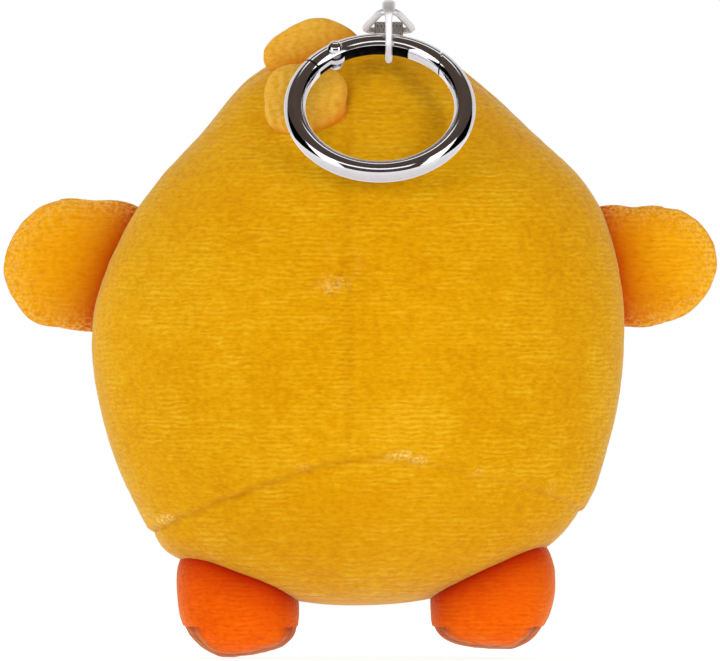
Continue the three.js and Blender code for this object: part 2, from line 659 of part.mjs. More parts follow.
// Torsion spring: two turns round the rivet beside the tongue, with a leg each way
function springGeometry() {
  const along = rad(-HINGE_ANGLE); // direction along the gate, from the rivet
  const points = [];
  const startZ = TONGUE_HIGH + SPRING_RISE;
  const place = (e1, e2, z) => {
    const x = rivetPlace.x + e1 * Math.cos(along) - e2 * Math.sin(along);
    const y = rivetPlace.y + e1 * Math.sin(along) + e2 * Math.cos(along);
    points.push(new THREE.Vector3(x, y, z));
  };
  for (const reach of [...SPRING_LEG].reverse()) place(reach, SPRING_COIL_RADIUS, startZ);
  const steps = SPRING_TURNS * 10;
  for (let i = 0; i <= steps; i++) {
    const turn = (i / steps) * SPRING_TURNS;
    const angle = Math.PI / 2 + turn * 2 * Math.PI;
    const across = SPRING_COIL_RADIUS * Math.cos(angle);
    place(across, SPRING_COIL_RADIUS * Math.sin(angle), startZ + SPRING_PITCH * turn);
  }
  const endZ = startZ + SPRING_PITCH * SPRING_TURNS;
  for (const reach of SPRING_LEG) place(-reach, SPRING_COIL_RADIUS, endZ);
  const path = new THREE.CatmullRomCurve3(points);
  const section = new THREE.Shape().absarc(0, 0, SPRING_WIRE_RADIUS, 0, Math.PI * 2);
  const settings = { steps: SPRING_STEPS, extrudePath: path, curveSegments: 3, bevelEnabled: false };
  return new THREE.ExtrudeGeometry(section, settings);
}
addPiece("gate_spring", springGeometry(), "spring", ring);

// ---- Link and loop ring -------------------------------------------------------------------

ring.updateMatrix();
const linkSeat2D = onRing(LINK_ANGLE, RING_RADIUS);
const linkSeat = new THREE.Vector3(linkSeat2D.x, linkSeat2D.y, 0).applyMatrix4(ring.matrix);
const linkInnerHalf = LINK_WIDTH / 2 - 2 * LINK_WIRE_RADIUS;
const linkBottom = linkSeat.z - WIRE_RADIUS - GAP - 2 * LINK_WIRE_RADIUS;

function stadium(width, length) {
  const radius = width / 2;
  const straight = length / 2 - radius;
  const shape = new THREE.Shape();
  shape.absarc(0, straight, radius, 0, Math.PI, false);
  shape.absarc(0, -straight, radius, Math.PI, Math.PI * 2, false);
  shape.closePath();
  return shape;
}
const linkLine = stadium(LINK_WIDTH - 2 * LINK_WIRE_RADIUS, LINK_LENGTH - 2 * LINK_WIRE_RADIUS);
const linkWire = closedWire(linkLine, SMALL_WIRE_STEPS, LINK_WIRE_RADIUS, SMALL_WIRE_SIDES);
linkWire.rotateX(Math.PI / 2).rotateZ(Math.PI / 2);
const linkShift = linkInnerHalf - WIRE_RADIUS - GAP; // the gate lies against the link's near side
linkWire.translate(linkSeat.x, linkSeat.y - linkShift, linkBottom + LINK_LENGTH / 2);
addPiece("connector_link", linkWire, "chrome");

const apexZ = linkBottom + LINK_LENGTH - 2 * LINK_WIRE_RADIUS - GAP - LOOP_WIRE_RADIUS;
const apex = new THREE.Vector3(linkSeat.x, linkSeat.y - linkShift, apexZ);

// Rounded triangle with its base bar on y = 0 and its apex at the given height: two corner
// arcs and an apex arc, joined by the lines that touch them
function loopOutline(height) {
  const cornerX = LOOP_BASE_HALF - LOOP_CORNER_RADIUS;
  const rise = height - LOOP_APEX_RADIUS - LOOP_CORNER_RADIUS;
  const reach = Math.hypot(cornerX, rise);
  const spread = Math.acos((LOOP_CORNER_RADIUS - LOOP_APEX_RADIUS) / reach);
  const right = Math.atan2(rise, -cornerX) - spread; // way out from the right arm
  const left = Math.PI - right;
  const shape = new THREE.Shape();
  shape.absarc(cornerX, LOOP_CORNER_RADIUS, LOOP_CORNER_RADIUS, -Math.PI / 2, right, false);
  shape.absarc(0, height - LOOP_APEX_RADIUS, LOOP_APEX_RADIUS, right, left, false);
  shape.absarc(-cornerX, LOOP_CORNER_RADIUS, LOOP_CORNER_RADIUS, left, Math.PI * 1.5, false);
  shape.closePath();
  return shape;
}
const loopRise = new THREE.Vector3().subVectors(apex, LOOP_BAR);
const loopLine = loopOutline(Math.hypot(loopRise.y, loopRise.z));
const loopWire = closedWire(loopLine, SMALL_WIRE_STEPS, LOOP_WIRE_RADIUS, SMALL_WIRE_SIDES);
loopWire.rotateX(Math.atan2(loopRise.z, loopRise.y));
loopWire.translate(LOOP_BAR.x, LOOP_BAR.y, LOOP_BAR.z);
addPiece("loop_ring", loopWire, "chrome");

export default assembly;
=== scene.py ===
import json
import math

import bmesh
import bpy
import numpy as np
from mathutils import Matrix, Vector
from mathutils.bvhtree import BVHTree


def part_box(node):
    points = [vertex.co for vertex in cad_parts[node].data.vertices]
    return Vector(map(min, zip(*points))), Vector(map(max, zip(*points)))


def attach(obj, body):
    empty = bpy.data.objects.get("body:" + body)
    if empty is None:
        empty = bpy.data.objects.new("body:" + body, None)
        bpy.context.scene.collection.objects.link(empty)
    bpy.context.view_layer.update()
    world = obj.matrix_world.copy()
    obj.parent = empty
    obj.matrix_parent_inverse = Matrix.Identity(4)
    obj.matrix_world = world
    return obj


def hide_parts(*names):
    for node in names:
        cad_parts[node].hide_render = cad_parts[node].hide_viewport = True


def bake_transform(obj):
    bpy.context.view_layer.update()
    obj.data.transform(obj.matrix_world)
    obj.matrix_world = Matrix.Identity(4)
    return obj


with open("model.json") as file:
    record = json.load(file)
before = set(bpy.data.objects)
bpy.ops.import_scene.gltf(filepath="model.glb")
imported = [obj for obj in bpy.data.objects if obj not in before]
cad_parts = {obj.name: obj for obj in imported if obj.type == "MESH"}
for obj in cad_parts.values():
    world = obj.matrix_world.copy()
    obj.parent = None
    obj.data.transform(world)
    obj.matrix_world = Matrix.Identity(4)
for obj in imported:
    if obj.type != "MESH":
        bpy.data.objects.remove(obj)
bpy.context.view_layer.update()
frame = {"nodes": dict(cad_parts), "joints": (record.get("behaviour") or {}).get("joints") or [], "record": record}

MM = 0.001
NODES = frame["nodes"]
JOINTS = {joint["name"]: joint for joint in frame["joints"]}
MOUNTS = {mount["name"]: mount for mount in frame["record"]["mounts"]}

BODY_PANELS = ["back_panel_left", "back_panel_right", "front_panel_left", "front_panel_right", "base_gusset"]


# ---- Numbers in arrays ----------------------------------------------------------------------

def hashed(cell, seed):
    """A number from -1 to 1 for each whole-number cell, the same on every run."""
    mask = np.uint64(0xFFFFFFFF)
    h = (cell[:, 0].astype(np.uint64) * np.uint64(374761393)) & mask
    h = (h + cell[:, 1].astype(np.uint64) * np.uint64(668265263)) & mask
    h = (h + cell[:, 2].astype(np.uint64) * np.uint64(2246822519) + np.uint64(seed * 7919)) & mask
    h = ((h ^ (h >> np.uint64(15))) * np.uint64(2246822519)) & mask
    h = ((h ^ (h >> np.uint64(13))) * np.uint64(3266489917)) & mask
    return ((h ^ (h >> np.uint64(16))) & np.uint64(0xFFFF)).astype(float) / 32767.5 - 1


def noise(points, seed):
    """Smooth noise in -1 to 1 at points, with a feature about every unit."""
    cell = np.floor(points).astype(np.int64) + 4096
    f = points - np.floor(points)
    f = f * f * (3 - 2 * f)
    total = np.zeros(len(points))
    for dx in (0, 1):
        for dy in (0, 1):
            for dz in (0, 1):
                weight = (f[:, 0] if dx else 1 - f[:, 0]) * (f[:, 1] if dy else 1 - f[:, 1])
                weight = weight * (f[:, 2] if dz else 1 - f[:, 2])
                total += weight * hashed(cell + np.array([dx, dy, dz]), seed)
    return total


def layered(points, octaves, seed):
    """Several sizes of noise on top of each other, each half as strong as the one before."""
    total = np.zeros(len(points))
    for k in range(octaves):
        total += noise(points * 2.03**k, seed + k) * 0.5**k
    return total


def smoothstep(value, low, high):
    """Rises smoothly from 0 at low to 1 at high."""
    t = np.clip((value - low) / (high - low), 0, 1)
    return t * t * (3 - 2 * t)


# ---- Meshes ---------------------------------------------------------------------------------

def coords(mesh):
    co = np.empty(len(mesh.vertices) * 3)
    mesh.vertices.foreach_get("co", co)
    return co.reshape(-1, 3)


def set_coords(mesh, co):
    mesh.vertices.foreach_set("co", np.ascontiguousarray(co, dtype=np.float32).ravel())
    mesh.update()


def vertex_normals(mesh):
    normals = np.empty(len(mesh.vertices) * 3, dtype=np.float32)
    mesh.vertex_normals.foreach_get("vector", normals)
    return normals.reshape(-1, 3).astype(float)


def new_object(name, mesh, smooth=True):
    obj = bpy.data.objects.new(name, mesh)
    bpy.context.scene.collection.objects.link(obj)
    if smooth:
        mesh.polygons.foreach_set("use_smooth", np.ones(len(mesh.polygons), dtype=bool))
    return obj


def surface_tree(nodes):
    """One search tree over several CAD nodes."""
    vertices = []
    faces = []
    for name in nodes:
        mesh = NODES[name].data
        start = len(vertices)
        vertices.extend(v.co.copy() for v in mesh.vertices)
        faces.extend([start + i for i in p.vertices] for p in mesh.polygons)
    return BVHTree.FromPolygons(vertices, faces)


def nodes_box(nodes):
    """The lowest and highest corner of several CAD nodes together."""
    lows, highs = zip(*[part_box(n) for n in nodes])
    low = Vector([min(v[i] for v in lows) for i in range(3)])
    high = Vector([max(v[i] for v in highs) for i in range(3)])
    return low, high


GAP_ROUNDS = 40
SUBDIVISIONS = 2


def cube_ball(cuts):
    """A ball of even quads: directions and faces."""
    bm = bmesh.new()
    bmesh.ops.create_cube(bm, size=2)
    bmesh.ops.subdivide_edges(bm, edges=bm.edges, cuts=cuts - 1, use_grid_fill=True)
    bm.verts.ensure_lookup_table()
    co = np.array([v.co[:] for v in bm.verts])
    faces = [[v.index for v in f.verts] for f in bm.faces]
    bm.free()
    co = np.tan(co * math.pi / 4)
    return co / np.linalg.norm(co, axis=1)[:, None], faces


def edge_ends(mesh):
    """The two vertices of each edge, one edge to a row."""
    edges = np.empty(len(mesh.edges) * 2, dtype=np.int64)
    mesh.edges.foreach_get("vertices", edges)
    return edges.reshape(-1, 2)


def relax(values, edges, rounds, weight=0.5):
    """Each row of values moves towards the mean of its neighbours."""
    values = values.copy()
    count = np.zeros(len(values))
    np.add.at(count, edges[:, 0], 1)
    np.add.at(count, edges[:, 1], 1)
    for _ in range(rounds):
        total = np.zeros_like(values)
        np.add.at(total, edges[:, 0], values[edges[:, 1]])
        np.add.at(total, edges[:, 1], values[edges[:, 0]])
        mean = total / (count[:, None] if values.ndim == 2 else count)
        values += (mean - values) * weight
    return values


def wrapped(name, nodes, cuts, stretch, smooth_rounds):
    """A closed skin of even quads drawn round CAD nodes from their middle. stretch shapes the
    ball of directions, so that a flat pad gets its quads where its area is."""
    tree = surface_tree(nodes)
    low, high = nodes_box(nodes)
    middle = (low + high) / 2
    span = (high - low).length
    ways, faces = cube_ball(cuts)
    ways = ways * np.array(stretch)
    ways /= np.linalg.norm(ways, axis=1)[:, None]
    reach = np.full(len(ways), np.nan)
    for i, way in enumerate(ways):
        direction = Vector(way)
        hit = tree.ray_cast(middle + direction * span, -direction)[0]
        if hit is not None:
            distance = (hit - middle).dot(direction)
            if distance > 0:
                reach[i] = distance
    mesh = bpy.data.meshes.new(name)
    mesh.from_pydata([Vector(w) for w in ways], [], faces)
    edges = edge_ends(mesh)
    missed = np.isnan(reach)
    filled = np.where(missed, np.nanmedian(reach), reach)
    # a ray that slips through the gap between two panels takes its neighbours' distance
    for _ in range(GAP_ROUNDS):
        filled[missed] = relax(filled, edges, 1, 1.0)[missed]
    filled = relax(filled, edges, smooth_rounds)
    set_coords(mesh, np.array(middle) + ways * filled[:, None])
    return mesh


def subdivided(mesh):
    """The mesh with each quad cut into sixteen and smoothed."""
    holder = bpy.data.objects.new("holder", mesh)
    bpy.context.scene.collection.objects.link(holder)
    modifier = holder.modifiers.new("Subdivision", "SUBSURF")
    modifier.levels = SUBDIVISIONS
    modifier.render_levels = SUBDIVISIONS
    graph = bpy.context.evaluated_depsgraph_get()
    finer = bpy.data.meshes.new_from_object(holder.evaluated_get(graph))
    finer.name = mesh.name
    bpy.data.objects.remove(holder)
    return finer


SIM_SCALE = 10  # the cloth is worked out ten times larger, where its forces behave
SIM_FRAMES = 20
CLOTH_STIFFNESS = 12.0
HOLD_STEPS = 10


def inflate(mesh, hold, pressure, cap):
    """Puffs a closed skin out under gentle pressure with the cloth solver. hold is from 0 to 1
    for each vertex and keeps it where it is; no vertex moves more than cap."""
    start = coords(mesh)
    work = mesh.copy()
    set_coords(work, start * SIM_SCALE)
    holder = bpy.data.objects.new("cloth_work", work)
    bpy.context.scene.collection.objects.link(holder)
    group = holder.vertex_groups.new(name="hold")
    for level in np.linspace(1 / HOLD_STEPS, 1, HOLD_STEPS):
        index = np.nonzero((hold > level - 1 / HOLD_STEPS) & (hold <= level + 1e-9))[0]
        if len(index):
            group.add([int(i) for i in index], float(level), "REPLACE")
    cloth = holder.modifiers.new("Cloth", "CLOTH")
    settings = cloth.settings
    settings.quality = 4
    settings.mass = 0.4
    settings.tension_stiffness = CLOTH_STIFFNESS
    settings.compression_stiffness = CLOTH_STIFFNESS
    settings.shear_stiffness = CLOTH_STIFFNESS * 0.6
    settings.bending_stiffness = 0.6
    settings.use_pressure = True
    settings.uniform_pressure_force = pressure
    settings.vertex_group_mass = "hold"
    settings.pin_stiffness = 1.0
    settings.effector_weights.gravity = 0
    cloth.point_cache.frame_start = 1
    cloth.point_cache.frame_end = SIM_FRAMES
    scene = bpy.context.scene
    for number in range(1, SIM_FRAMES + 1):
        scene.frame_set(number)
    graph = bpy.context.evaluated_depsgraph_get()
    result = holder.evaluated_get(graph).to_mesh()
    moved = coords(result) / SIM_SCALE - start
    holder.evaluated_get(graph).to_mesh_clear()
    length = np.linalg.norm(moved, axis=1)
    scale = np.where(length > cap, cap / np.maximum(length, 1e-9), 1)
    set_coords(mesh, start + moved * scale[:, None])
    bpy.data.objects.remove(holder)
    scene.frame_set(1)


def mark(mesh, name, values):
    """Stores one number for each vertex, for the materials to read."""
    attribute = mesh.attributes.new(name, "FLOAT", "POINT")
    attribute.data.foreach_set("value", np.asarray(values, dtype=np.float32))


# ---- Materials ------------------------------------------------------------------------------

class Nodes:
    """A small writer of node materials."""

    def __init__(self, name):
        self.material = bpy.data.materials.new(name)
        self.material.use_nodes = True
        self.tree = self.material.node_tree
        self.shader = self.tree.nodes["Principled BSDF"]

    def add(self, kind, inputs=None, **settings):
        node = self.tree.nodes.new(kind)
        for key, value in settings.items():
            setattr(node, key, value)
        for key, value in (inputs or {}).items():
            if isinstance(value, bpy.types.NodeSocket):
                self.tree.links.new(value, node.inputs[key])
            else:
                node.inputs[key].default_value = value
        return node

    def place(self, scale, turn=(0, 0, 0)):
        """Object coordinates, stretched by scale."""
        where = self.add("ShaderNodeTexCoord").outputs["Object"]
        mapping = self.add("ShaderNodeMapping", {"Vector": where, "Scale": scale, "Rotation": turn})
        return mapping.outputs["Vector"]

    def noise(self, vector, scale, detail=3.0, roughness=0.5, distortion=0.0):
        settings = {"Vector": vector, "Scale": scale, "Detail": detail, "Roughness": roughness}
        return self.add("ShaderNodeTexNoise", {**settings, "Distortion": distortion}).outputs["Fac"]

    def ramp(self, value, stops):
        node = self.add("ShaderNodeValToRGB", {"Fac": value})
        ramp = node.color_ramp
        while len(ramp.elements) < len(stops):
            ramp.elements.new(0.5)
        for element, (position, colour) in zip(ramp.elements, stops):
            element.position = position
            element.color = (*colour, 1)
        return node.outputs["Color"]

    def math(self, operation, a, b):
        return self.add("ShaderNodeMath", {0: a, 1: b}, operation=operation).outputs["Value"]

    def mix(self, factor, a, b, blend_type="MIX"):
        node = self.add("ShaderNodeMix", data_type="RGBA", blend_type=blend_type)
        for socket, value in ((node.inputs[0], factor), (node.inputs[6], a), (node.inputs[7], b)):
            if isinstance(value, bpy.types.NodeSocket):
                self.tree.links.new(value, socket)
            elif isinstance(value, tuple):
                socket.default_value = (*value, 1)
            else:
                socket.default_value = value
        return node.outputs[2]

    def bump(self, height, distance, strength=1.0, normal=None):
        inputs = {"Height": height, "Distance": distance, "Strength": strength}
        if normal is not None:
            inputs["Normal"] = normal
        return self.add("ShaderNodeBump", inputs).outputs["Normal"]

    def attribute(self, name):
        return self.add("ShaderNodeAttribute", attribute_name=name).outputs["Fac"]

    def finish(self, **sockets):
        for name, value in sockets.items():
            socket = self.shader.inputs[name.replace("_", " ")]
            if isinstance(value, bpy.types.NodeSocket):
                self.tree.links.new(value, socket)
            elif isinstance(value, tuple) and socket.type == "RGBA":
                socket.default_value = (*value[:3], 1)
            else:
                socket.default_value = value
        return self.material


BLACK = (0, 0, 0)
WHITE = (1, 1, 1)
# a pale colour for painted highlight where the fuzz of the pile catches the light
TIP_HIGHLIGHT = (0.9, 0.6, 0.16)


def plush(name, deep, middle, light, shadow, crease_shade, sheen_tint, turn=(0, 0, 0)):
    """Short brushed plush. Its pile lies in fine wavy ripples a little under a millimetre apart,
    plainer in some patches than in others. Attributes of the mesh paint shade near a root,
    paint shade along a sewn crease and paint a pale highlight on the tips of its pile."""
    n = Nodes(name)
    rows = n.place((0.45, 0.45, 1.0), turn)
    even = n.place((1, 1, 1))
    settings = {"Vector": rows, "Scale": 340.0, "Distortion": 6.5, "Detail": 3.0, "Detail Scale": 1.3}
    ripples = n.add("ShaderNodeTexWave", settings, bands_direction="Z").outputs["Fac"]
    breaks = n.ramp(n.noise(rows, 430, 3.0, 0.6, 0.6), [(0.36, BLACK), (0.62, WHITE)])
    patches = n.ramp(n.noise(even, 75, 2.0, 0.5), [(0.38, (0.3, 0.3, 0.3)), (0.6, WHITE)])
    lines = n.math("MULTIPLY", n.math("MULTIPLY", ripples, breaks), patches)
    strands = n.noise(n.place((0.4, 0.4, 1.0), turn), 2100, 2.0, 0.6, 0.3)
    brushed = n.noise(even, 38, 2.0, 0.5, 0.5)
    tufts = n.noise(even, 620, 2.0, 0.5, 0.3)
    shade = n.math("ADD", n.math("MULTIPLY", lines, 0.2), n.math("MULTIPLY", tufts, 0.22))
    shade = n.math("ADD", shade, n.math("MULTIPLY", brushed, 0.2))
    shade = n.math("ADD", shade, n.math("MULTIPLY", strands, 0.4))
    colour = n.ramp(shade, [(0.3, deep), (0.45, middle), (0.68, light)])
    # painted shade: the shadow colour is mixed in where the root attribute is high
    colour = n.mix(n.attribute("root"), colour, shadow)
    # painted highlight: the pale colour is mixed in where the pale attribute is high, broken up by fine noise
    fluff = n.ramp(n.noise(even, 1500, 2.0, 0.6), [(0.42, BLACK), (0.6, WHITE)])
    colour = n.mix(n.math("MULTIPLY", n.attribute("pale"), fluff), colour, TIP_HIGHLIGHT)
    # painted shade along the seam creases, in a darker colour
    colour = n.mix(n.math("MULTIPLY", n.attribute("crease"), 0.7), colour, crease_shade)
    height = n.math("ADD", n.math("MULTIPLY", lines, 0.5), n.math("MULTIPLY", strands, 0.5))
    normal = n.bump(height, 0.5 * MM, 0.5)
    normal = n.bump(tufts, 0.8 * MM, 0.2, normal)
    return n.finish(
        Base_Color=colour, Roughness=0.9, Normal=normal, Specular_IOR_Level=0.04,
        Subsurface_Weight=0.25, Subsurface_Radius=(1.0, 0.25, 0.04), Subsurface_Scale=3 * MM,
        Sheen_Weight=0.55, Sheen_Roughness=0.3, Sheen_Tint=sheen_tint,
    )


def chrome(name, tone=(0.69, 0.675, 0.7), rough=0.075, metallic=1.0):
    """Bright plated metal with faint polishing haze and small rubs."""
    n = Nodes(name)
    even = n.place((1, 1, 1))
    haze = n.noise(even, 260, 4.0, 0.6)
    rubs = n.noise(n.place((1, 1, 6)), 900, 2.0, 0.5, 0.5)
    mixed = n.math("ADD", n.math("MULTIPLY", haze, 0.65), n.math("MULTIPLY", rubs, 0.35))
    colour = n.ramp(mixed, [(0.3, tuple(c * 0.9 for c in tone)), (0.7, tone)])
    level = n.math("ADD", n.math("MULTIPLY", mixed, 0.09), rough - 0.045)
    normal = n.bump(haze, 0.02 * MM, 0.25)
    return n.finish(Base_Color=colour, Metallic=metallic, Roughness=level, Normal=normal)


def plain_material(name, deep, light, rough, scale=600, metallic=0.0, bump=0.05 * MM):
    """A plain surface with fine specks, from deep to light in colour."""
    n = Nodes(name)
    speck = n.noise(n.place((1, 1, 1)), scale, 3.0, 0.6)
    colour = n.ramp(speck, [(0.35, deep), (0.65, light)])
    level = n.math("ADD", n.math("MULTIPLY", speck, 0.2), rough - 0.1)
    normal = n.bump(speck, bump, 0.5)
    return n.finish(Base_Color=colour, Metallic=metallic, Roughness=level, Normal=normal)


def tape_material(name):
    """Woven tape: a small over-and-under weave."""
    n = Nodes(name)
    waves = []
    for turn in ((0, 0, math.pi / 4), (0, 0, -math.pi / 4)):
        vector = n.place((1, 1, 1), turn)
        wave = n.add("ShaderNodeTexWave", {"Vector": vector, "Scale": 620.0, "Distortion": 0.4})
        waves.append(wave.outputs["Fac"])
    weave = n.math("MAXIMUM", *waves)
    colour = n.ramp(weave, [(0.1, (0.05, 0.042, 0.036)), (0.8, (0.24, 0.215, 0.2))])
    normal = n.bump(weave, 0.2 * MM, 0.7)
    return n.finish(Base_Color=colour, Roughness=0.8, Normal=normal, Sheen_Weight=0.3)


YELLOW = plush(
    "yellow_plush", (0.63, 0.26, 0.0003), (0.73, 0.35, 0.001), (0.83, 0.47, 0.016),
    shadow=(0.6, 0.2, 0.0006), crease_shade=(0.4, 0.1, 0.001), sheen_tint=(0.95, 0.9, 0.68, 1))
# painted sheen: the tuft's colours are a paler, less saturated copy of the yellow plush, for the light that falls
# on it
TUFT = plush(
    "tuft_plush", (0.7, 0.33, 0.015), (0.81, 0.44, 0.045), (0.92, 0.56, 0.1),
    shadow=(0.68, 0.17, 0.001), crease_shade=(0.4, 0.1, 0.001), sheen_tint=(1.0, 0.9, 0.62, 1),
    turn=(0, math.pi / 2, 0))
WING = plush(
    "wing_plush", (0.72, 0.28, 0.0004), (0.85, 0.385, 0.0008), (0.93, 0.48, 0.006),
    shadow=(0.58, 0.08, 0.0005), crease_shade=(0.6, 0.2, 0.001), sheen_tint=(1.0, 0.88, 0.6, 1))
ORANGE = plush(
    "orange_plush", (0.8, 0.1, 0.0005), (0.94, 0.145, 0.001), (1.0, 0.2, 0.004),
    shadow=(0.46, 0.012, 0.0006), crease_shade=(0.2, 0.008, 0.001), sheen_tint=(1.0, 0.7, 0.4, 1))
CHROME = chrome("chrome")
SPRING = plain_material("spring_steel", (0.3, 0.31, 0.33), (0.55, 0.56, 0.58), 0.32, 900, 1.0)
BEAD = plain_material(
    "eye_black", (0.006, 0.006, 0.007), (0.012, 0.012, 0.013), 0.14, 300, bump=0.01 * MM)
WASHER = plain_material("washer_plastic", (0.7, 0.69, 0.65), (0.85, 0.84, 0.8), 0.55)
TAPE = tape_material("tab_tape")
SATIN = chrome("chrome_satin", (0.74, 0.72, 0.74), 0.34, 0.6)
# near-black steel: painted shade for the cut ends of the ring and the gate's channel
SHADE_STEEL = plain_material("channel_shade_steel", (0.06, 0.05, 0.045), (0.13, 0.12, 0.11), 0.5, 900, 1.0)


def dress(obj, material):
    """Gives an object one material."""
    obj.data.materials.clear()
    obj.data.materials.append(material)
    return obj


# ---- Soft pieces ----------------------------------------------------------------------------

PANEL_SURFACES = [surface_tree([name]) for name in BODY_PANELS]
BODY_SURFACE = surface_tree(BODY_PANELS)
FAR_FROM_SEAM = 0.05


def distances(points, trees):
    """One row for each search tree: how far each point is from it."""
    places = [Vector(p) for p in points]
    return np.array([[tree.find_nearest(place)[3] for place in places] for tree in trees])


def body_seams(points):
    """How far each point is, along the skin, from the side and middle seams, and from the seam
    of the base gusset. The second is negative on the gusset."""
    away = distances(points, PANEL_SURFACES)
    panels = np.sort(away[:4], axis=0)
    gusset = away[4]
    upright = np.sqrt(np.maximum(panels[1] ** 2 - panels[0] ** 2, 0))
    upright = np.where(gusset < panels[0], FAR_FROM_SEAM, upright)
    base = np.sqrt(np.abs(gusset**2 - panels[0] ** 2)) * np.sign(gusset - panels[0])
    return upright, base


def bell(away, width):
    """1 where away is nothing, dying off over about a width to each side."""
    return np.exp(-((away / width) ** 2))


def pile(co, seed):
    """Small lifts and hollows of brushed pile, in wavy rows across the piece, in metres."""
    warp = layered(co * 110, 2, seed + 11) * 1.3
    rows = np.stack([co[:, 0] * 210, co[:, 1] * 210, co[:, 2] * 760 + warp], axis=1)
    clumps = layered(co * 260, 2, seed + 5)
    return (layered(rows, 1, seed) * 0.06 + clumps * 0.03) * MM


def unmirrored(obj):
    """Keeps the metal's rims pale where they face the plush."""
    obj.visible_glossy = False


def free(co):
    """For soft pieces that nothing holds while they puff up."""
    return np.zeros(len(co))


def soft_piece(mesh, body, material, stands_for, *, puff, seed, root=5 * MM,
               sewn=None, rim=None, bend=None):
    """One stuffed piece: puffed by cloth, then subdivided, sewn and brushed. puff is what holds
    it, the pressure and the farthest it moves. root is how far the body's painted shade reaches
    over it. sewn is its seam's distance, depth and width, and the seam gets painted shade. rim
    says where its pile gets a pale painted highlight."""
    hold, pressure, cap = puff
    inflate(mesh, hold(coords(mesh)), pressure, cap)
    mesh = subdivided(mesh)
    co = coords(mesh)
    lift = pile(co, seed)
    crease = np.zeros(len(co))
    if sewn is not None:
        seam, depth, width = sewn
        away = seam(co)
        # painted shade along the seam
        crease = bell(away, 1.5 * width)
        lift = lift - depth * bell(away, width)
        lift = lift + layered(co * 330, 2, seed + 31) * bell(away, 4 * MM) * 0.12 * MM
    set_coords(mesh, co + vertex_normals(mesh) * lift[:, None])
    mark(mesh, "crease", crease)
    # painted shade, darker nearer the body
    near = np.zeros(len(co))
    if root:
        near = np.exp(-distances(coords(mesh), [BODY_SURFACE])[0] / root)
    mark(mesh, "root", near)
    # painted highlight where the rim says
    mark(mesh, "pale", np.zeros(len(co)) if rim is None else rim(co))
    obj = dress(new_object(mesh.name, mesh), material)
    unmirrored(obj)
    if bend is None:
        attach(obj, body)
    else:
        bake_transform(obj)
    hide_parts(*stands_for)
    return obj


# where the stuffing stands out: x, z, width and rise, in millimetres
BODY_BULGES = [(42, 28, 8, 1.7), (-38, 22, 5, 1.8), (-21, 108, 9, 1.7), (50, 46, 16, 0.8), (43, 90, 9, 0.8),
               (-50, 58, 12, 0.3)]
# how deep the thread draws the skin in at the side and middle seams and at the gusset's seam
SIDE_DEPTH, SIDE_WIDTH = 0.42 * MM, 0.9 * MM
BASE_DEPTH, BASE_WIDTH = 0.6 * MM, 0.65 * MM
TUCK_WIDTH = 3 * MM
# the gathered spot where the middle seam turns off to the left, and the gap between its gathers
TURN_Z, TURN_SLOPE = 75 * MM, 0.32
GATHER_X, GATHER_Z, GATHER_TALL, GATHER_STEP = -3.6 * MM, 71.5 * MM, 5 * MM, 2.1 * MM
# seeds of the skin's own patterns
COVER, WANDER, GATHER, WRINKLE, SEAM_FUZZ, FUZZ = range(77, 83)


def stuffed_skin():
    """The skin of the body before it is sewn and brushed."""
    mesh = wrapped("body_plush", BODY_PANELS, 32, (1, 1, 1), 3)
    start = coords(mesh)
    upright, base = body_seams(start)
    out = start - start.mean(axis=0)
    out /= np.linalg.norm(out, axis=1)[:, None]
    tuck = 0.5 * MM * bell(upright, TUCK_WIDTH) + 0.8 * MM * bell(base, TUCK_WIDTH)
    for x, z, width, rise in BODY_BULGES:
        near = np.exp(-((start[:, 0] / MM - x) ** 2 + (start[:, 2] / MM - z) ** 2) / width**2)
        tuck -= rise * MM * near
    set_coords(mesh, start - out * tuck[:, None])
    # the seams hold, and the rest is nearly free
    hold = 0.15 + 0.85 * np.maximum(bell(upright, 2 * MM) * 0.7, bell(base, 2.4 * MM))
    inflate(mesh, hold, pressure=3.0, cap=0.9 * MM)
    return subdivided(mesh)


